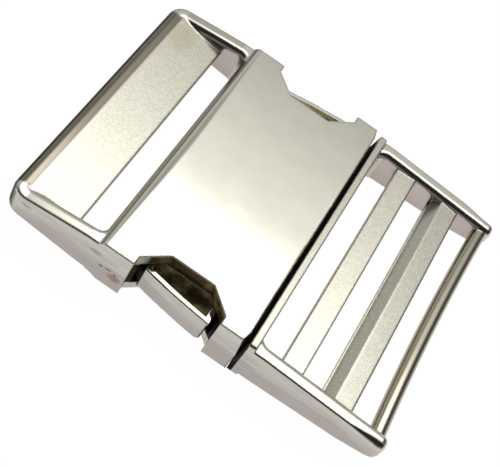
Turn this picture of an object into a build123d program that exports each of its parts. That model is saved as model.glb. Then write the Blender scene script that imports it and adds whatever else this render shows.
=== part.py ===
from build123d import *
import math
import os

# Metal side release buckle, fastened: a socket with a strap loop, and a plug with
# two sprung latch levers. X runs from the loop to the plug's end, Y across the
# strap, and Z up from the surface that the buckle lies on. All sizes are in mm.
os.makedirs("parts", exist_ok=True)

# Strap, and the frame round it
web_width = 50.0
web_room = 1.3
rail_thickness = 3.0

# Socket along X, from the end of its loop to its mouth
plate_length = 9.45
socket_slot = 4.6
sleeve_length = 28.95

# Sleeve section
sleeve_height = 10.25
crown_rise = 0.2
roof_thickness = 2.5
floor_thickness = 1.8
side_wall = 2.4
end_wall = 2.2
side_draft = 0.15
parting_height = 4.9
rear_roll = 2.6
foot_run = 4.0
foot_radius = 0.45

# Loop heights, at the sleeve and at its far end
loop_top_drop = 1.1
loop_top_fall = 1.3
loop_foot = 1.15
loop_end_foot = 2.6
loop_corner = 3.2
loop_end_round = 1.55
slot_corner = 1.5
plate_sink = 0.1
plate_fall = 1.4
plate_thickness = 1.3
plate_fillet = 0.3

# Finger windows in the sleeve
window_from_wall = 15.5
window_half_mouth = 8.5
window_half_inner = 4.2
window_depth = 5.7
window_straight = 1.8

# Plug along X, from the gap at the mouth to its end
mouth_gap = 0.85
flange_thickness = 1.45
first_slot = 4.55
first_bar = 4.35
second_slot = 4.2
second_bar = 6.0
third_slot = 4.1
end_rod_radius = 1.5
rail_overhang = 0.55

# Plug heights
flange_top = 9.65
flange_foot = 0.3
flange_inset = 0.1
flange_corner = 0.55
flange_lean = 0.65
flange_edge_round = 0.3
plug_top_start = 8.7
plug_top_end = 7.05
plug_foot_start = 0.95
plug_foot_end = 1.85
nose_foot_round = 2.3
nose_round = 1.15
nose_tip_round = 0.15
nose_blend = 5.0
ladder_corner = 2.0
first_bar_top = 7.45
first_bar_thickness = 2.3
second_bar_ridge = 6.95
second_bar_slot_side = 5.55
second_bar_rod_side = 6.45
second_bar_foot = 3.9
second_bar_lip = 0.5
second_bar_lip_top = 4.95
ridge_offset = 2.3
end_rod_height = 4.95
end_rod_bow = 0.65

# Tongue that carries the levers inside the sleeve
slide_gap = 0.25
tongue_end_gap = 0.8
spring_room = 6.0
ear_thickness = 1.15
ear_radius = 2.9

# Latch levers and their pivot pins
lever_swing = 8.5
lever_gap = 0.3
pin_radius = 1.25
pin_fit = 0.02
pin_running_fit = 0.05
pivot_from_window = 9.75
pivot_half = 20.4
knuckle_radius = 2.7
knuckle_gap = 0.15
lever_start = 6.8
lever_end = 6.95
lever_start_half = 26.8
lever_end_half = 29.0
lever_bulge = 0.22
lever_inner_half = 22.7
lever_rim = 1.0
lever_pocket = 2.4
lever_heel_round = 1.0
lever_edge_round = 0.25

# Edge breaks
edge_break = 0.2
bar_edge_round = 0.4
plate_edge_round = 0.45
rail_outer_round = 0.4
rail_inner_round = 1.3
rail_foot_round = 0.6
mouth_corner_depth = 0.6
mouth_corner_width = 3.4
mouth_corner_fade = 0.1

# Places across the strap
inner_half = web_width / 2 + web_room
outer_half = inner_half + rail_thickness
cavity_half = outer_half - side_wall
tongue_half = cavity_half - slide_gap
flange_half = outer_half - flange_inset

# Places along the buckle, with the origin at the middle of its length
socket_length = rail_thickness + plate_length + socket_slot + sleeve_length
ladder_length = first_slot + first_bar + second_slot + second_bar + third_slot
plug_length = flange_thickness + ladder_length + 2 * end_rod_radius + rail_overhang
total_length = socket_length + mouth_gap + plug_length
loop_x = -total_length / 2
plate_x = loop_x + rail_thickness
slot_x = plate_x + plate_length
wall_x = slot_x + socket_slot
loop_root_x = wall_x - slot_corner
mouth_x = wall_x + sleeve_length
window_x = wall_x + window_from_wall
flange_x = mouth_x + mouth_gap
ladder_x = flange_x + flange_thickness
ladder_root_x = ladder_x + ladder_corner
first_bar_x = ladder_x + first_slot
second_bar_x = first_bar_x + first_bar + second_slot
rod_x = second_bar_x + second_bar + third_slot + end_rod_radius
nose_x = total_length / 2
cavity_x = wall_x + end_wall
tongue_x = cavity_x + tongue_end_gap
pivot_x = window_x - pivot_from_window
root_x = window_x + window_half_mouth
lever_start_x = window_x - lever_start
lever_end_x = window_x + lever_end

# Heights inside the sleeve
cavity_top = sleeve_height - roof_thickness
inside_foot = floor_thickness + slide_gap
inside_top = cavity_top - slide_gap
inside_height = inside_top - inside_foot
knuckle_height = inside_height - 2 * (ear_thickness + knuckle_gap)
knuckle_foot = inside_foot + ear_thickness + knuckle_gap
loop_top = sleeve_height - loop_top_drop
plate_top_end = loop_top - loop_top_fall - plate_sink
plate_top_slot = plate_top_end - plate_fall

# Slopes of the loop's rails, which get lower at the top and higher at the foot towards its end
loop_run = loop_root_x - (loop_x + loop_corner)
loop_slope = loop_top_fall / loop_run
foot_slope = (loop_end_foot - loop_foot) / loop_run
plate_slope = plate_fall / plate_length

# The stem leaves room for the return springs beside the levers when they are pressed in
swing = math.radians(lever_swing)
shoulder_reach = lever_end_x - pivot_x
inner_offset = lever_inner_half - pivot_half
swung_inner_half = pivot_half + inner_offset * math.cos(swing) - shoulder_reach * math.sin(swing)
stem_half = swung_inner_half - spring_room


def rail_section(x, foot, top, rounds, inset=0):
    # Upright section of a side rail, with its four corners rounded
    with BuildSketch(Plane.YZ.offset(x)) as outline:
        with BuildLine():
            FilletPolyline(
                (inner_half + inset, foot),
                (inner_half + inset, top - inset),
                (outer_half - inset, top - inset),
                (outer_half - inset, foot),
                radius=rounds,
                close=True,
            )
        make_face()
    return outline.sketch


def rail_round(outer_top):
    # Corner rounds of a rail: inner foot, inner top, outer top and outer foot
    return (rail_foot_round, rail_inner_round, outer_top, rail_foot_round)


def loop_section(x, outer_top):
    # Section of a loop rail, on the straight slopes of its top and foot
    back = loop_root_x - x
    foot = loop_foot + back * foot_slope
    return rail_section(x, foot, loop_top - back * loop_slope, rail_round(outer_top))


def plug_section(x, rounds, foot_rise=0, inset=0):
    # Section of a plug rail, on the straight slopes of its top and foot
    share = (x - ladder_root_x) / (nose_x - ladder_root_x)
    foot = plug_foot_start + (plug_foot_end - plug_foot_start) * share
    top = plug_top_start + (plug_top_end - plug_top_start) * share
    return rail_section(x, foot + foot_rise, top, rounds, inset)


# Sections of a plug rail, the last of them round its nose
nose_foot_x = nose_x - nose_foot_round
plug_sections = [
    plug_section(ladder_root_x, rail_round(rail_outer_round)),
    plug_section(nose_foot_x - nose_blend, rail_round(rail_outer_round)),
    plug_section(nose_foot_x, (nose_round + nose_tip_round,) * 4),
]
for turn in (0, 30, 60, 90):
    nose_inset = nose_round * (1 - math.cos(math.radians(turn)))
    nose_reach = nose_foot_round - nose_round * (1 - math.sin(math.radians(turn)))
    nose_rise = nose_foot_round - math.sqrt(nose_foot_round ** 2 - nose_reach ** 2)
    rounds = (nose_round + nose_tip_round - nose_inset,) * 4
    plug_sections.append(plug_section(nose_foot_x + nose_reach, rounds, nose_rise, nose_inset))


def rail_root(end_x, inside_x, corner, foot, top):
    # Level root of a rail, with a concave corner that joins it to the wall it stands on
    with BuildPart() as root:
        with BuildSketch(Plane.XY.offset(foot)):
            with Locations(((end_x + inside_x) / 2, (outer_half + inner_half - corner) / 2)):
                Rectangle(abs(inside_x - end_x), rail_thickness + corner)
            with Locations((end_x, inner_half - corner)):
                Circle(corner, mode=Mode.SUBTRACT)
        extrude(amount=top - foot)
        fillet(edges().filter_by(GeomType.CIRCLE).sort_by(Axis.Z)[-1], rail_inner_round)
        fillet(edges().filter_by(Axis.X).group_by(Axis.Y)[-1].sort_by(Axis.Z)[-1], rail_outer_round)
        foot_edges = edges().group_by(Axis.Z)[0]
        fillet(foot_edges.filter_by(GeomType.CIRCLE) + foot_edges.sort_by(Axis.Y)[-1:], rail_foot_round)
    return root.part


def on_plate_seam(edge):
    # Whether an edge lies where the strap plate's top meets the inner side of a rail
    place = edge.center()
    plate_top = plate_top_end - (place.X - plate_x) * plate_slope
    beside = abs(place.Y) > inner_half - plate_fillet
    return beside and edge.length > plate_length / 4 and abs(place.Z - plate_top) < plate_fillet


def mouth_corner(level, side, share):
    # Level section of what is cut away at a corner of the mouth
    with BuildSketch(Plane.XY.offset(level)) as outline:
        with BuildLine():
            Polyline(
                (mouth_x + edge_break, side * (outer_half - share * mouth_corner_width)),
                (mouth_x + edge_break, side * (outer_half + edge_break)),
                (mouth_x - share * mouth_corner_depth, side * (outer_half + edge_break)),
                close=True,
            )
        make_face()
    return outline.sketch


# Socket housing: sleeve, loop and strap plate in one casting
loop_root = rail_root(loop_root_x, cavity_x, slot_corner, loop_foot, loop_top)
corner_axis = Axis((loop_x + loop_corner, outer_half - loop_corner, 0), (0, 0, 1))
loop_sections = [loop_section(loop_root_x, rail_outer_round)]
for turn in range(0, 91, 15):
    outer_top = rail_outer_round + (loop_end_round - rail_outer_round) * (turn / 90) ** 2
    loop_sections.append(loop_section(loop_x + loop_corner, outer_top).rotate(corner_axis, turn))

with BuildPart() as socket_housing:
    add(loop_root)
    loft(loop_sections, ruled=True)
    extrude(faces().filter_by(Axis.Y).sort_by(Axis.X)[0], amount=outer_half - loop_corner)
    mirror(about=Plane.XZ)
    with BuildSketch(Plane.XZ) as sleeve_side:
        with BuildLine():
            Polyline(
                (wall_x, loop_foot),
                (wall_x, sleeve_height),
                (mouth_x, sleeve_height),
                (mouth_x, 0),
                (wall_x + foot_run, 0),
            )
            Spline(
                (wall_x + foot_run, 0),
                (wall_x, loop_foot),
                tangents=((-1, 0), (-1, 0)),
            )
        make_face()
        fillet(sleeve_side.vertices().sort_by(Axis.Y)[-2:].sort_by(Axis.X)[0], rear_roll)
    extrude(amount=outer_half, both=True)
    with BuildSketch(Plane.YZ) as section:
        with BuildLine():
            ThreePointArc(
                (-outer_half, sleeve_height - crown_rise),
                (0, sleeve_height),
                (outer_half, sleeve_height - crown_rise),
            )
            Polyline(
                (outer_half, sleeve_height - crown_rise),
                (outer_half, parting_height),
                (outer_half - side_draft, 0),
                (-outer_half + side_draft, 0),
                (-outer_half, parting_height),
                (-outer_half, sleeve_height - crown_rise),
            )
        make_face()
        fillet(section.vertices().group_by(Axis.Y)[0], foot_radius)
    extrude(amount=total_length, both=True, mode=Mode.INTERSECT)
    with BuildSketch(Plane.XZ) as plate_side:
        with BuildLine():
            Polyline(
                (plate_x - rail_thickness / 2, plate_top_end),
                (plate_x, plate_top_end),
                (slot_x, plate_top_slot),
                (slot_x, plate_top_slot - plate_thickness),
                (plate_x, plate_top_end - plate_thickness),
                (plate_x - rail_thickness / 2, plate_top_end - plate_thickness),
                (plate_x - rail_thickness / 2, plate_top_end),
            )
        make_face()
        fillet(plate_side.vertices().group_by(Axis.X)[-1], plate_edge_round)
    extrude(amount=inner_half + rail_thickness / 2, both=True)
    fillet(edges().filter_by(on_plate_seam), plate_fillet)
    with BuildSketch(Plane.YZ.offset(mouth_x)) as mouth:
        with Locations((0, (floor_thickness + cavity_top) / 2)):
            Rectangle(2 * cavity_half, cavity_top - floor_thickness)
    extrude(amount=cavity_x - mouth_x, mode=Mode.SUBTRACT)
    with BuildSketch(Plane.XY) as windows:
        with BuildLine():
            Polyline(
                (window_x - window_half_mouth, 2 * outer_half),
                (window_x - window_half_mouth, outer_half - window_straight),
                (window_x - window_half_inner, outer_half - window_depth),
                (window_x + window_half_inner, outer_half - window_depth),
                (window_x + window_half_mouth, outer_half - window_straight),
                (window_x + window_half_mouth, 2 * outer_half),
                (window_x - window_half_mouth, 2 * outer_half),
            )
        make_face()
        mirror(about=Plane.XZ)
    extrude(amount=sleeve_height, mode=Mode.SUBTRACT)
    roof = faces().filter_by(GeomType.CYLINDER).sort_by(SortBy.AREA)[-1]
    fillet(roof.edges().filter_by(lambda e: e.center().X > wall_x + 1.5 * rear_roll), edge_break)
    for side in (-1, 1):
        loft([mouth_corner(sleeve_height, side, 1), mouth_corner(parting_height, side, mouth_corner_fade)],
             mode=Mode.SUBTRACT)

socket_housing.part.label = "socket_housing"
export_step(socket_housing.part, "parts/socket_housing.step")


# Plug frame: strap ladder, flange and tongue in one casting
ladder_root = rail_root(ladder_root_x, flange_x, ladder_corner, plug_foot_start, plug_top_start)

with BuildPart() as plug_frame:
    with BuildSketch(Plane.YZ.offset(flange_x - flange_lean)) as flange_face:
        with Locations((0, (flange_foot + flange_top) / 2)):
            RectangleRounded(2 * flange_half, flange_top - flange_foot, flange_corner)
    extrude(amount=flange_thickness + flange_lean)
    with BuildSketch(Plane.XZ) as flange_front:
        with BuildLine():
            Polyline(
                (flange_x - flange_lean, parting_height),
                (flange_x, flange_top),
                (flange_x - flange_lean, flange_top),
                close=True,
            )
        make_face()
    extrude(amount=flange_half, both=True, mode=Mode.SUBTRACT)
    fillet(faces().sort_by(Axis.Z)[-1].edges().filter_by(Axis.Y), flange_edge_round)
    add(ladder_root)
    loft(plug_sections, ruled=True)
    mirror(about=Plane.XZ)
    with BuildSketch(Plane.XZ) as bar_sides:
        with BuildLine():
            FilletPolyline(
                (first_bar_x, first_bar_top),
                (first_bar_x + first_bar, first_bar_top),
                (first_bar_x + first_bar, first_bar_top - first_bar_thickness),
                (first_bar_x, first_bar_top - first_bar_thickness),
                radius=bar_edge_round,
                close=True,
            )
        make_face()
        with BuildLine():
            FilletPolyline(
                (second_bar_x, second_bar_foot),
                (second_bar_x, second_bar_lip_top),
                (second_bar_x + second_bar_lip, second_bar_lip_top),
                (second_bar_x + second_bar_lip, second_bar_slot_side),
                (second_bar_x + ridge_offset, second_bar_ridge),
                (second_bar_x + second_bar, second_bar_rod_side),
                (second_bar_x + second_bar, second_bar_foot),
                radius=[
                    bar_edge_round,
                    second_bar_lip / 4,
                    second_bar_lip / 4,
                    second_bar_lip / 4,
                    bar_edge_round,
                    bar_edge_round,
                    bar_edge_round,
                ],
                close=True,
            )
        make_face()
    extrude(amount=inner_half + rail_thickness / 2, both=True)
    with BuildLine(Plane.XY.offset(end_rod_height)) as rod_axis:
        ThreePointArc(
            (rod_x, -inner_half - rail_thickness / 2),
            (rod_x - end_rod_bow, 0),
            (rod_x, inner_half + rail_thickness / 2),
        )
    with BuildSketch(Plane(origin=rod_axis.line @ 0, z_dir=rod_axis.line % 0)):
        Circle(end_rod_radius)
    sweep()
    with BuildSketch(Plane.XY.offset(inside_foot)) as tongue:
        with Locations(((root_x + flange_x) / 2, 0)):
            Rectangle(flange_x - root_x, 2 * tongue_half)
        with Locations(((tongue_x + root_x) / 2, 0)):
            Rectangle(root_x - tongue_x, 2 * stem_half)
        with Locations(((tongue_x + pivot_x + ear_radius) / 2, 0)):
            Rectangle(pivot_x + ear_radius - tongue_x, 2 * pivot_half)
        with Locations((pivot_x, pivot_half), (pivot_x, -pivot_half)):
            Circle(ear_radius)
    extrude(amount=inside_height)
    with BuildSketch(Plane.XY.offset(knuckle_foot - knuckle_gap)) as knuckle_slots:
        with Locations((pivot_x, pivot_half), (pivot_x, -pivot_half)):
            Circle(ear_radius + lever_gap)
    extrude(amount=knuckle_height + 2 * knuckle_gap, mode=Mode.SUBTRACT)
    with BuildSketch(Plane.XY.offset(inside_foot)) as pin_holes:
        with Locations((pivot_x, pivot_half), (pivot_x, -pivot_half)):
            Circle(pin_radius + pin_fit)
    extrude(amount=inside_height, mode=Mode.SUBTRACT)

plug_frame.part.label = "plug_frame"
export_step(plug_frame.part, "parts/plug_frame.step")


# Latch lever: a shell with a button face outside and a shoulder at its free end
with BuildPart() as far_latch_lever:
    with BuildSketch(Plane.XY.offset(inside_foot)) as lever_plan:
        with BuildLine():
            ThreePointArc(
                (lever_start_x, lever_start_half),
                (
                    (lever_start_x + lever_end_x) / 2,
                    (lever_start_half + lever_end_half) / 2 + lever_bulge,
                ),
                (lever_end_x, lever_end_half),
            )
            Polyline(
                (lever_end_x, lever_end_half),
                (lever_end_x, lever_inner_half),
                (lever_start_x, lever_inner_half),
                (lever_start_x, lever_start_half),
            )
        make_face()
    extrude(amount=inside_height)
    heel = edges().filter_by(Axis.Y).group_by(Axis.Z)[0].sort_by(Axis.X)[-1]
    fillet(heel, lever_heel_round)
    button = faces().sort_by(Axis.Y)[-1]
    fillet(button.edges(), lever_edge_round)
    with BuildSketch(Plane.XY.offset(inside_top)) as pocket:
        add(lever_plan.sketch)
        offset(amount=-lever_rim, kind=Kind.INTERSECTION, mode=Mode.REPLACE)
    extrude(amount=-lever_pocket, mode=Mode.SUBTRACT)
    with BuildSketch(Plane.XY.offset(knuckle_foot)) as knuckle:
        with Locations((pivot_x, pivot_half)):
            Circle(knuckle_radius)
        with BuildLine():
            Line((lever_start_x, lever_inner_half), (lever_start_x, lever_start_half))
        make_hull()
    extrude(amount=knuckle_height)
    with BuildSketch(Plane.XY.offset(knuckle_foot)) as pin_bore:
        with Locations((pivot_x, pivot_half)):
            Circle(pin_radius + pin_running_fit)
    extrude(amount=knuckle_height, mode=Mode.SUBTRACT)

far_latch_lever.part.label = "far_latch_lever"
export_step(far_latch_lever.part, "parts/far_latch_lever.step")

with BuildPart() as near_latch_lever:
    mirror(far_latch_lever.part, about=Plane.XZ)

near_latch_lever.part.label = "near_latch_lever"
export_step(near_latch_lever.part, "parts/near_latch_lever.step")


# Pivot pins, riveted flush in the tongue's ears
with BuildPart() as far_pivot_pin:
    with BuildSketch(Plane.XY.offset(inside_foot)):
        with Locations((pivot_x, pivot_half)):
            Circle(pin_radius)
    extrude(amount=inside_height)

far_pivot_pin.part.label = "far_pivot_pin"
export_step(far_pivot_pin.part, "parts/far_pivot_pin.step")

with BuildPart() as near_pivot_pin:
    mirror(far_pivot_pin.part, about=Plane.XZ)

near_pivot_pin.part.label = "near_pivot_pin"
export_step(near_pivot_pin.part, "parts/near_pivot_pin.step")
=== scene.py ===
import math

import bpy
from mathutils import Matrix, Vector

# Metal side release buckle, lying fastened on a white surface
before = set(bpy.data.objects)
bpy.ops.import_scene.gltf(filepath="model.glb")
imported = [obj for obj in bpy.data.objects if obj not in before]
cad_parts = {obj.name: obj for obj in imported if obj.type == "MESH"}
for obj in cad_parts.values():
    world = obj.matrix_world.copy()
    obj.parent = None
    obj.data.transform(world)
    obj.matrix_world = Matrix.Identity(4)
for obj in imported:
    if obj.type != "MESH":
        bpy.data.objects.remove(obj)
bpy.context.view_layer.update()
mm = 0.001
print("frame loaded")


def hexColour(code):
    channels = [int(code[i:i + 2], 16) / 255 for i in (1, 3, 5)]
    linear = [c / 12.92 if c <= 0.04045 else ((c + 0.055) / 1.055) ** 2.4 for c in channels]
    return (*linear, 1.0)


def emptyTree(owner):
    # The node tree of a material, a lamp or the world, cleared
    owner.use_nodes = True
    owner.node_tree.nodes.clear()
    return owner.node_tree


def addNode(tree, kind, inputs=None, stops=(), **settings):
    # A shader node with its settings. An input is fed by a node or a socket, or set to a number, a vector or
    # a hex colour. A ramp has stops, which are pairs of place and brightness.
    node = tree.nodes.new("ShaderNode" + kind)
    for name, value in settings.items():
        setattr(node, name, value)
    for socket, value in (inputs or {}).items():
        if isinstance(value, bpy.types.Node):
            value = value.outputs[0]
        if isinstance(value, bpy.types.NodeSocket):
            tree.links.new(value, node.inputs[socket])
        elif isinstance(value, str):
            node.inputs[socket].default_value = hexColour(value)
        else:
            node.inputs[socket].default_value = value
    for spot, brightness in stops[1:-1]:
        node.color_ramp.elements.new(spot)
    for i, (spot, brightness) in enumerate(stops):
        node.color_ramp.elements[i].color = (brightness, brightness, brightness, 1.0)
    return node


# Camera, at the angle of the photograph
photoView = {
    "eye": (-1.385, -148.445, 174.95),  # mm
    "azimuth": -0.225,  # degrees, as the next two
    "elevation": 50.0,
    "roll": -34.836,
    "focal": 1258.6,  # in pixels of the photograph's width
    "width": 500,
    "sensor": 36,  # mm
    "nearest": 10,  # mm
}
azimuth = math.radians(photoView["azimuth"])
elevation = math.radians(photoView["elevation"])
roll = math.radians(photoView["roll"])
back = Vector((
    math.sin(azimuth) * math.cos(elevation),
    -math.cos(azimuth) * math.cos(elevation),
    math.sin(elevation),
))
level = (-back).cross(Vector((0, 0, 1))).normalized()
down = (-back).cross(level)
right = math.cos(roll) * level + math.sin(roll) * down
up = math.sin(roll) * level - math.cos(roll) * down
lens = bpy.data.cameras.new("photoCamera")
lens.sensor_width = photoView["sensor"]
lens.lens = lens.sensor_width * photoView["focal"] / photoView["width"]
lens.clip_start = photoView["nearest"] * mm
camera = bpy.data.objects.new("photoCamera", lens)
camera.matrix_world = Matrix((right, up, back)).transposed().to_4x4()
camera.location = Vector(photoView["eye"]) * mm
bpy.context.scene.collection.objects.link(camera)
bpy.context.scene.camera = camera
print("camera placed")

# White surface. To the camera it glows, so that it stays white up to the buckle. What the plating mirrors of
# it is a soft grey, with a painted shadow that dims it from the loop's end to the left.
surface = {
    "size": 1.2,  # m
    "drop": 0.02,  # mm, so that it stays clear of the underside
    "seen": "#4A4A4A",
    "seenGlow": 0.985,
    "mirrored": "#DCD7D9",
    "mirroredGlow": 0.56,
    # The painted shadow: its colour, its glow, and where it lies
    "dim": "#8E8A8C",
    "dimGlow": 0.04,
    "dimFrom": {"X": (-26, -29), "Y": (-31, -27)},  # mm, where it starts and where it is full
}
bpy.ops.mesh.primitive_plane_add(size=surface["size"], location=(0, 0, -surface["drop"] * mm))
floor = bpy.context.object
floor.name = "floor"
paper = bpy.data.materials.new("white_card")
tree = emptyTree(paper)
seen = addNode(tree, "LightPath").outputs["Is Camera Ray"]
axes = addNode(tree, "SeparateXYZ", {"Vector": addNode(tree, "TexCoord").outputs["Object"]})
dim = 1.0
for axis, (start, end) in surface["dimFrom"].items():
    limits = {"Value": axes.outputs[axis], "From Min": start * mm, "From Max": end * mm}
    edge = addNode(tree, "MapRange", limits, interpolation_type="SMOOTHSTEP")
    dim = addNode(tree, "Math", {0: dim, 1: edge}, operation="MULTIPLY")
mirrored = addNode(tree, "Mix", {0: dim, 6: surface["mirrored"], 7: surface["dim"]}, data_type="RGBA")
shade = addNode(tree, "Mix", {0: seen, 6: mirrored.outputs[2], 7: surface["seen"]}, data_type="RGBA")
mirroredGlow = addNode(tree, "MapRange", {
    "Value": dim,
    "To Min": surface["mirroredGlow"],
    "To Max": surface["dimGlow"],
})
strength = addNode(tree, "Mix", {0: seen, 2: mirroredGlow, 3: surface["seenGlow"]})
matte = addNode(tree, "BsdfDiffuse", {"Color": shade.outputs[2]})
glow = addNode(tree, "Emission", {"Strength": strength})
both = addNode(tree, "AddShader", {0: matte, 1: glow})
addNode(tree, "OutputMaterial", {"Surface": both})
floor.data.materials.append(paper)
print("surface laid")

# Soft studio light: a large softbox above and behind, which fades towards its edges. Round it the room is
# grey to the left and behind, darker to the right, and nearly black above the camera.
bpy.context.scene.view_settings.view_transform = "Standard"
studio = {
    "box": {"X": (-200, 175), "Y": (20, 340)},  # mm
    "boxHeight": 200,
    "boxLight": 3.0,
    # Shares of that light from one side of the box to the other
    "shares": {
        "X": [(-200, 0.0), (-135, 0.06), (-118, 0.16), (-98, 0.4), (-75, 0.75), (-60, 1.0), (100, 1.0),
              (125, 0.75), (175, 0.0)],
        "Y": [(20, 0.0), (45, 0.3), (70, 0.55), (100, 0.85), (116, 1.0), (134, 0.75), (150, 0.34),
              (161, 0.253), (181, 0.217), (201, 0.157), (221, 0.113), (239, 0.07), (290, 0.03), (340, 0.0)],
    },
    # The room's light by direction, which is a unit vector: by its Z, and where its X and Y change that
    "room": [(0, 0.17), (0.15, 0.36), (0.3, 0.76), (0.46, 0.47), (0.7, 0.46), (1, 0.46)],
    "right": [(0, 0.14), (1, 0.14)],
    "cameraSide": [(0, 0.3), (0.2, 0.26), (0.38, 0.03), (1, 0.025)],
    "rightFrom": (0.3, 0.6),
    "cameraSideFrom": (0.14, -0.02),
}
middle = {axis: sum(span) / 2 * mm for axis, span in studio["box"].items()}
width = {axis: (end - start) * mm for axis, (start, end) in studio["box"].items()}
lamp = bpy.data.lights.new("softbox", "AREA")
lamp.shape = "RECTANGLE"
lamp.size = width["X"]
lamp.size_y = width["Y"]
lamp.energy = math.pi * width["X"] * width["Y"] * studio["boxLight"]
tree = emptyTree(lamp)
axes = addNode(tree, "SeparateXYZ", {"Vector": addNode(tree, "NewGeometry").outputs["Parametric"]})
share = 1.0
for axis, (start, end) in studio["box"].items():
    stops = [((spot - start) / (end - start), light) for spot, light in studio["shares"][axis]]
    along = addNode(tree, "ValToRGB", {"Fac": axes.outputs[axis]}, stops)
    share = addNode(tree, "Math", {0: share, 1: along}, operation="MULTIPLY")
glow = addNode(tree, "Emission", {"Strength": share})
addNode(tree, "OutputLight", {"Surface": glow})
softbox = bpy.data.objects.new("softbox", lamp)
softbox.location = (middle["X"], middle["Y"], studio["boxHeight"] * mm)
softbox.visible_camera = False
bpy.context.scene.collection.objects.link(softbox)

world = bpy.data.worlds.new("studio")
bpy.context.scene.world = world
tree = emptyTree(world)
axes = addNode(tree, "SeparateXYZ", {"Vector": addNode(tree, "TexCoord").outputs["Generated"]})
shade = addNode(tree, "ValToRGB", {"Fac": axes.outputs["Z"]}, studio["room"]).outputs["Color"]
for axis, part in (("X", "right"), ("Y", "cameraSide")):
    start, end = studio[part + "From"]
    turned = addNode(tree, "MapRange", {"Value": axes.outputs[axis], "From Min": start, "From Max": end},
                     interpolation_type="SMOOTHSTEP")
    other = addNode(tree, "ValToRGB", {"Fac": axes.outputs["Z"]}, studio[part])
    shade = addNode(tree, "Mix", {0: turned, 6: shade, 7: other}, data_type="RGBA").outputs[2]
sky = addNode(tree, "Background", {"Color": shade})
addNode(tree, "OutputWorld", {"Surface": sky})
print("light set")


# What the plated castings share
plating = {
    # Sizes of the patterns in mm along X, Y and Z, and how much finer detail each has
    "patterns": {
        "bump": ((0.3, 0.3, 0.3), 3.0),
        "cloud": ((4.0, 4.0, 4.0), 4.0),
        "wave": ((6.0, 6.0, 6.0), 1.0),  # left by hand polishing
        "streak": ((6.0, 6.0, 1.2), 4.0),  # on the side faces
    },
    "grain": 0.2,  # mm, coarser than the real one of about 0.1 mm, which would be too fine to show
    "partingHeight": 4.9,  # mm, of the line that the mould leaves round the sides
    "cornerReach": 1.6,  # mm, of the painted shade in inner corners
    "cornerSamples": 8,
    "edgeSamples": 6,
    "zoneSoft": 0.1,  # mm, for a zone that gives no softness of its own
    "stainRagged": 0.9,  # how far the edge of a stain wanders, as a share of its reach
    # Where each fade starts, and where it is full
    "fades": {
        "upright": (0.9, 0.97),  # how far a face looks sideways
        "glitter": (0.1, 0.95),
        "patch": (0.35, 0.7),
        "below": (1.0, -1.0),  # mm above the parting line
        "line": (0.16, 0.03),  # mm from it
        # Shares of the pale tone in the painted reflection coat, and of the brown in the painted shade
        "paintedReflectionPale": (0.4, 0.62),
        "paintedShadeBrown": (0.42, 0.62),
        "worn": (0.98, 0.85),  # how far an outer edge turns
        "corner": (0.75, 0.3),  # how open a place is
        "stain": (1.55, 0.95),  # distance from its middle, as a share of its reach
    },
    "castTones": ("#C0BDAD", "#D3D0C2"),
    "sideTones": ("#DAD8CD", "#CEC6C1"),  # above the parting line, and pinker below it
    "patchTone": "#C6BEB4",
    "lineTone": "#8F867E",
    "wornTone": "#E2DFD2",
    # How strongly each shows in the colour
    "patches": 0.5,
    "line": 0.55,
    "worn": 0.4,
    # How far the side faces are satin, and what else changes the gloss
    "sideSatin": 0.5,
    "smudge": 0.06,
    "paintedShadeRough": 0.7,
    "wornSmooth": 0.05,
    "paintedShadeCover": 0.9,  # share of the metal that the painted shade hides
    # Height of each pattern, as a share of a casting's own relief
    "heights": {"bump": 0.42, "wave": 0.5, "streak": 0.15, "line": 1.5},
}


def zones(tree, places, boxes):
    # 1 inside any of the boxes, 0 outside. A box has limits along X and Z and, as Y, away from the middle
    # plane, in mm.
    share = 0.0
    for box in boxes:
        inside = 1.0
        soft = box.get("soft", plating["zoneSoft"]) * mm
        for axis, source in places.items():
            for limit, outward in zip(box.get(axis, ()), (-1, 1)):
                if limit is None:
                    continue
                start = limit * mm + outward * soft
                end = limit * mm - outward * soft
                edge = addNode(tree, "MapRange", {"Value": source, "From Min": start, "From Max": end},
                               interpolation_type="SMOOTHSTEP")
                inside = addNode(tree, "Math", {0: inside, 1: edge}, operation="MULTIPLY")
        share = addNode(tree, "Math", {0: share, 1: inside}, operation="MAXIMUM")
    return share


def stain(tree, point, noise, centre, reach):
    # A blot with a ragged edge round a place, both in mm
    moved = addNode(tree, "VectorMath", {0: point, 1: [c * mm for c in centre]}, operation="SUBTRACT")
    scaled = addNode(tree, "VectorMath", {0: moved, 1: [r * mm for r in reach]}, operation="DIVIDE")
    far = addNode(tree, "VectorMath", {0: scaled}, operation="LENGTH").outputs["Value"]
    ragged = addNode(tree, "Math", {0: noise, 1: plating["stainRagged"], 2: far}, operation="MULTIPLY_ADD")
    start, end = plating["fades"]["stain"]
    return addNode(tree, "MapRange", {"Value": ragged, "From Min": start, "From Max": end},
                   interpolation_type="SMOOTHSTEP")


def castingPatterns(tree, point):
    # The noises that colour, gloss and relief are made from
    patterns = {}
    for pattern, (size, detail) in plating["patterns"].items():
        scaled = addNode(tree, "Mapping", {"Vector": point, "Scale": [1 / (length * mm) for length in size]})
        patterns[pattern] = addNode(tree, "TexNoise", {"Vector": scaled, "Scale": 1.0, "Detail": detail})
    grain = addNode(tree, "TexVoronoi", {"Vector": point, "Scale": 1 / (plating["grain"] * mm)})
    patterns["speck"] = addNode(tree, "SeparateColor", {"Color": grain.outputs["Color"]})
    return patterns


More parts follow.
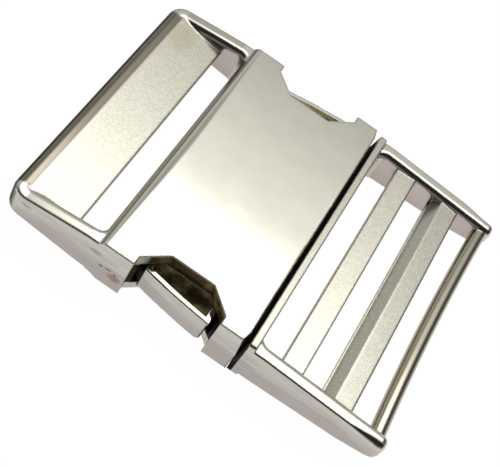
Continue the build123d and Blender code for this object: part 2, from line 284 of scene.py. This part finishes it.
def castingFades(tree, place, axes, patterns, rounded):
    # How much of each finish there is at a place, from 0 to 1
    facing = addNode(tree, "SeparateXYZ", {"Vector": place.outputs["Normal"]})
    aboveLine = addNode(tree, "Math", {0: axes.outputs["Z"], 1: 1 / mm, 2: -plating["partingHeight"]},
                        operation="MULTIPLY_ADD")
    flat = addNode(tree, "NewGeometry").outputs["Normal"]
    turned = addNode(tree, "VectorMath", {0: rounded, 1: flat}, operation="DOT_PRODUCT")
    openness = addNode(tree, "AmbientOcclusion", {"Distance": plating["cornerReach"] * mm},
                       samples=plating["cornerSamples"], only_local=True)
    sources = {
        "upright": addNode(tree, "Math", {0: facing.outputs["Y"]}, operation="ABSOLUTE"),
        "glitter": patterns["speck"],
        "patch": patterns["streak"],
        "below": aboveLine,
        "line": addNode(tree, "Math", {0: aboveLine}, operation="ABSOLUTE"),
        "paintedReflectionPale": patterns["cloud"],
        "paintedShadeBrown": patterns["cloud"],
        "worn": turned.outputs["Value"],
        "corner": openness.outputs["AO"],
    }
    fades = {}
    for part, source in sources.items():
        start, end = plating["fades"][part]
        fades[part] = addNode(tree, "MapRange", {"Value": source, "From Min": start, "From Max": end},
                              interpolation_type="SMOOTHSTEP")
    return fades


def layColours(tree, colour, layers):
    # Colours laid over the first one, each with its share and strength
    for share, strength, over in layers:
        covering = addNode(tree, "Math", {0: share, 1: strength}, operation="MULTIPLY")
        colour = addNode(tree, "Mix", {0: covering, 6: colour, 7: over}, data_type="RGBA").outputs[2]
    return colour


def platedCasting(name, look):
    # Nickel plate on a zinc casting: warm silver. Polished zones mirror the light softly, zones left as cast
    # are satin with a fine grain that glitters, and recesses and inner corners get painted shade, brown to
    # black and matt. A matt coat paints reflection and light where the bare metal would mirror only darkness.
    material = bpy.data.materials.new(name)
    tree = emptyTree(material)
    place = addNode(tree, "TexCoord")
    point = place.outputs["Object"]
    axes = addNode(tree, "SeparateXYZ", {"Vector": point})
    fromMiddle = addNode(tree, "Math", {0: axes.outputs["Y"]}, operation="ABSOLUTE")
    places = {"X": axes.outputs["X"], "Y": fromMiddle, "Z": axes.outputs["Z"]}
    rounded = addNode(tree, "Bevel", {"Radius": look["edgeRound"] * mm}, samples=plating["edgeSamples"])
    patterns = castingPatterns(tree, point)
    fades = castingFades(tree, place, axes, patterns, rounded)
    cast, paintedReflectionZone, dark = (zones(tree, places, look[kind]) for kind in ("cast", "paintedReflectionZone", "dark"))
    side = addNode(tree, "Math", {0: zones(tree, places, look["side"]), 1: fades["upright"]},
                   operation="MULTIPLY")
    seam = addNode(tree, "Math", {0: side, 1: fades["line"]}, operation="MULTIPLY")
    stainedSeam = addNode(tree, "Math", {0: seam, 1: fades["patch"]}, operation="MULTIPLY")
    worn = addNode(tree, "Math", {0: fades["worn"], 1: plating["worn"]}, operation="MULTIPLY")
    # Painted shade: the dark zones, and inner corners by how closed in they are
    corners = addNode(tree, "Math", {0: fades["corner"], 1: look["cornerShade"]}, operation="MULTIPLY")
    paintedShadeShare = addNode(tree, "Math", {0: corners, 1: dark}, operation="MAXIMUM")

    # Two tones for each finish
    tones = {
        "polished": (patterns["cloud"], look["shade"], look["tone"]),
        "cast": (fades["glitter"], *plating["castTones"]),
        "side": (fades["below"], *plating["sideTones"]),
        "paintedReflection": (fades["paintedReflectionPale"], look["paintedReflection"], look["paintedReflectionPale"]),  # painted reflection and light, as a matt coat
        # Painted shade in recesses and inner corners, brown to black
        "paintedShade": (fades["paintedShadeBrown"], look["paintedShade"], look["paintedShadeBrown"]),
    }
    for part, (share, first, second) in tones.items():
        tones[part] = addNode(tree, "Mix", {0: share, 6: first, 7: second}, data_type="RGBA").outputs[2]

    # The finishes from the bare metal outwards
    sides = layColours(tree, tones["side"], [(fades["patch"], plating["patches"], plating["patchTone"])])
    layers = [
        (cast, 1.0, tones["cast"]),
        (side, 1.0, sides),
        (stainedSeam, plating["line"], plating["lineTone"]),
    ]
    for centre, reach, tone, strength in look["stains"]:
        layers.append((stain(tree, point, patterns["bump"], centre, reach), strength, tone))
    # The painted reflection coat
    layers.append((paintedReflectionZone, 1.0, tones["paintedReflection"]))
    for boxes, tone, strength, wallsOnly in look["tones"]:
        share = zones(tree, places, boxes)
        if wallsOnly:
            share = addNode(tree, "Math", {0: share, 1: fades["upright"]}, operation="MULTIPLY")
        layers.append((share, strength, tone))
    # Wear on the edges, then the painted shade over all
    layers += [(worn, 1.0, plating["wornTone"]), (paintedShadeShare, 1.0, tones["paintedShade"])]
    colour = layColours(tree, tones["polished"], layers)

    # Gloss from polished to satin, with smudges, and nearly none in the painted shade
    unpolished = addNode(tree, "Math", {0: cast, 1: paintedReflectionZone}, operation="MAXIMUM")
    halfPolished = addNode(tree, "Math", {0: side, 1: plating["sideSatin"]}, operation="MULTIPLY")
    satin = addNode(tree, "Math", {0: unpolished, 1: halfPolished}, operation="MAXIMUM")
    rough = addNode(tree, "MapRange", {"Value": satin, "To Min": look["polished"], "To Max": look["satin"]})
    smudge = addNode(tree, "Math", {0: patterns["cloud"], 1: 0.5}, operation="SUBTRACT")
    for share, change in (
        (smudge, plating["smudge"]),
        (dark, plating["paintedShadeRough"]),
        (worn, -plating["wornSmooth"]),
    ):
        rough = addNode(tree, "Math", {0: share, 1: change, 2: rough}, operation="MULTIPLY_ADD")

    # The matt coat of painted reflection and light covers part of the metal, and the painted shade hides it
    # nearly all
    paintedReflectionShare = addNode(tree, "Math", {0: paintedReflectionZone, 1: look["paintedReflectionCover"]}, operation="MULTIPLY")
    hiddenByShade = addNode(tree, "Math", {0: dark, 1: plating["paintedShadeCover"]}, operation="MULTIPLY")
    covered = addNode(tree, "Math", {0: paintedReflectionShare, 1: hiddenByShade}, operation="MAXIMUM")
    bare = addNode(tree, "Math", {0: 1.0, 1: covered}, operation="SUBTRACT")

    relief = 0.0
    for part, pattern, share in (
        ("bump", patterns["bump"], cast),
        ("wave", patterns["wave"], 1.0),
        ("streak", patterns["streak"], side),
        ("line", seam, 1.0),
    ):
        height = addNode(tree, "Math", {0: pattern, 1: share}, operation="MULTIPLY")
        relief = addNode(tree, "Math", {0: height, 1: plating["heights"][part], 2: relief},
                         operation="MULTIPLY_ADD")
    bump = addNode(tree, "Bump", {"Height": relief, "Normal": rounded, "Distance": look["relief"] * mm})
    metal = addNode(tree, "BsdfPrincipled", {
        "Base Color": colour,
        "Metallic": bare,
        "Roughness": rough,
        "Normal": bump,
    })
    addNode(tree, "OutputMaterial", {"Surface": metal})
    return material


# One look for each casting. The zones say where it is left as cast, a side face, under the matt coat of
# painted reflection and light, or in painted shade. A tone has its zones, colour, strength, and whether it is
# kept to upright walls. A stain has its centre, reach, colour and strength. All sizes and places are in mm.
socketLook = {
    "tone": "#DAD7C9", "shade": "#CFCCBE", "polished": 0.1, "satin": 0.29,
    "relief": 0.012, "edgeRound": 0.6,
    # Painted shade: its two tones, and its strength in inner corners
    "paintedShade": "#0F0C09", "paintedShadeBrown": "#33291D", "cornerShade": 0.5,
    # Painted reflection coat: its two tones, and how much of the metal it covers
    "paintedReflection": "#5A431F", "paintedReflectionPale": "#C0A870", "paintedReflectionCover": 0.6,
    "cast": [{"X": (-34.4, -24.9), "Y": (None, 26.35), "Z": (None, 7.95)}],  # sloping strap plate
    "side": [{"Y": (28.9, None)}],
    "paintedReflectionZone": [{"X": (-13.9, 3.95), "Y": (23.4, 29.05), "Z": (7.6, 9.97), "soft": 0.06}],  # roof's cut edge, with painted reflection
    # Painted shade in these places
    "dark": [
        {"X": (-18.4, 8.6), "Y": (None, 26.95), "Z": (1.85, 7.6)},  # cavity
        {"X": (8.3, None), "Y": (None, 29.2), "Z": (None, 9.9)},  # mouth
        {"X": (-14.0, 4.05), "Y": (23.4, 29.12), "Z": (1.9, 7.6), "soft": 0.06},  # windows, below the roof
    ],
    "tones": [
        # Inner walls of the loop, pinkish with a painted reflection of the floor; its end bar darkened with
        # painted shade; and the window's corner lighter with a painted reflection
        ([{"X": (-34.4, -20.6), "Y": (25.9, 26.6)}], "#C0B5B3", 0.9, True),
        ([{"X": (None, -34.75), "Y": (None, 26.6), "Z": (6.0, None), "soft": 0.25}], "#7C7466", 0.9, False),
        ([{"X": (-14.0, -11.9), "Y": (23.4, 29.1), "Z": (7.3, 9.97), "soft": 0.2}], "#D0D2BC", 0.85, False),
    ],
    "stains": [
        # On the near side face
        ((-18.1, -29.25, 4.45), (0.5, 0.5, 0.24), "#332D29", 0.95),
        ((-16.7, -29.25, 4.6), (0.9, 0.5, 0.18), "#4C433C", 0.9),
        ((-15.1, -29.2, 3.4), (1.5, 1.5, 1.0), "#9A7B66", 0.7),
        ((-15.3, -29.2, 4.3), (0.4, 0.6, 0.3), "#6E5A4B", 0.8),
        ((-19.7, -29.25, 6.9), (1.3, 0.5, 0.5), "#A28E80", 0.6),
        ((-33.5, -29.25, 6.4), (1.2, 0.6, 0.4), "#9A8672", 0.5),
        # On the far rail's inner wall, and at the far end of the strap plate
        ((-22.4, 26.3, 4.2), (1.2, 0.5, 0.15), "#4A4040", 0.9),
        ((-22.9, 26.3, 2.6), (0.3, 0.5, 0.3), "#3C3434", 0.9),
        ((-32.3, 22.3, 7.4), (2.8, 4.5, 3.0), "#B4A687", 0.38),
    ],
}
plugLook = {
    "tone": "#D8D5C7", "shade": "#CCC9BB", "polished": 0.11, "satin": 0.29,
    "relief": 0.012, "edgeRound": 0.45,
    # Painted shade: its two tones, and its strength in inner corners
    "paintedShade": "#14110D", "paintedShadeBrown": "#3A332A", "cornerShade": 0.7,
    # Painted reflection coat: its two tones, and how much of the metal it covers
    "paintedReflection": "#57462F", "paintedReflectionPale": "#968B70", "paintedReflectionCover": 0.3,
    "cast": [
        {"X": (9.2, 10.9), "Z": (9.2, None)},  # flange's top
        {"X": (15.2, 19.75), "Y": (None, 26.35)},  # flat bar
        {"X": (23.8, 29.95), "Y": (None, 26.35)},  # ridged bar
    ],
    "side": [{"Y": (28.85, None)}],
    "paintedReflectionZone": [{"X": (None, 9.3), "Z": (8.9, 9.3)}],  # flange's face towards the sleeve, with painted reflection
    # Painted shade on the part inside the sleeve
    "dark": [{"X": (None, 9.45), "Z": (None, 9.2)}],
    "tones": [
        # Inner walls of the rails, pinkish with a painted reflection of the floor; the flange's top; and the
        # end rod darkened brown with painted shade
        ([{"X": (10.9, 34.5), "Y": (25.9, 26.6)}], "#C0B5B3", 0.9, True),
        ([{"X": (9.2, 10.9), "Z": (9.3, None)}], "#A5A397", 0.4, False),
        ([{"X": (33.2, None), "Y": (None, 26.2), "Z": (None, 8.1)}], "#8F846E", 0.6, False),
    ],
    "stains": [],
}
leverLook = {
    "tone": "#DAD7C9", "shade": "#CFCCBE", "polished": 0.1, "satin": 0.27,
    "relief": 0.01, "edgeRound": 0.25,
    # Painted shade: its two tones, and its strength in inner corners
    "paintedShade": "#1E1810", "paintedShadeBrown": "#4E4430", "cornerShade": 0.2,
    # Painted reflection coat: its two tones, and how much of the metal it covers
    "paintedReflection": "#857748", "paintedReflectionPale": "#EFE6BC", "paintedReflectionCover": 0.8,
    "cast": [{"Y": (None, 26.0), "Z": (None, 5.3)}],
    "side": [{"Y": (26.3, None), "Z": (None, 7.2)}],
    "paintedReflectionZone": [{"Y": (22.9, 26.3), "X": (-10.6, 1.0), "Z": (4.0, 7.3)}],  # pocket, with painted light
    # Painted shade on the back, the knuckle and the shoulder, which lie inside the sleeve
    "dark": [
        {"Y": (None, 22.9), "Z": (None, 7.1)},  # back
        {"X": (None, -11.5)},  # knuckle
        {"X": (1.75, None), "Z": (None, 7.0)},  # shoulder
    ],
    "tones": [],
    "stains": [],
}
finishes = {
    "socket_housing": platedCasting("nickel_plated_zinc_polished", socketLook),
    "plug_frame": platedCasting("nickel_plated_zinc_as_cast", plugLook),
    "near_latch_lever": platedCasting("nickel_plated_zinc_lever", leverLook),
}
finishes["far_latch_lever"] = finishes["near_latch_lever"]
print("plating made")

# Drawn steel pins: cool grey, with fine lines from the die along their length. Sizes are in mm.
pinLook = {
    "tone": "#A9AAAA",
    "shade": "#8F9091",
    "lines": (0.06, 0.06, 4.0),  # apart, and long
    "lineDetail": 2.0,
    "roughness": (0.25, 0.4),
    "relief": 0.003,
}
drawnSteel = bpy.data.materials.new("drawn_steel")
tree = emptyTree(drawnSteel)
lengthwise = addNode(tree, "Mapping", {
    "Vector": addNode(tree, "TexCoord").outputs["Object"],
    "Scale": [1 / (length * mm) for length in pinLook["lines"]],
})
lines = addNode(tree, "TexNoise", {"Vector": lengthwise, "Scale": 1.0, "Detail": pinLook["lineDetail"]})
colour = addNode(tree, "Mix", {0: lines, 6: pinLook["shade"], 7: pinLook["tone"]}, data_type="RGBA")
smooth, coarse = pinLook["roughness"]
rough = addNode(tree, "MapRange", {"Value": lines, "To Min": smooth, "To Max": coarse})
bump = addNode(tree, "Bump", {"Height": lines, "Distance": pinLook["relief"] * mm})
metal = addNode(tree, "BsdfPrincipled", {
    "Base Color": colour.outputs[2],
    "Metallic": 1.0,
    "Roughness": rough,
    "Normal": bump,
})
addNode(tree, "OutputMaterial", {"Surface": metal})
finishes["near_pivot_pin"] = drawnSteel
finishes["far_pivot_pin"] = drawnSteel
print("steel made")

for name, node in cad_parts.items():
    node.data.materials.clear()
    node.data.materials.append(finishes[name])
print("buckle finished")
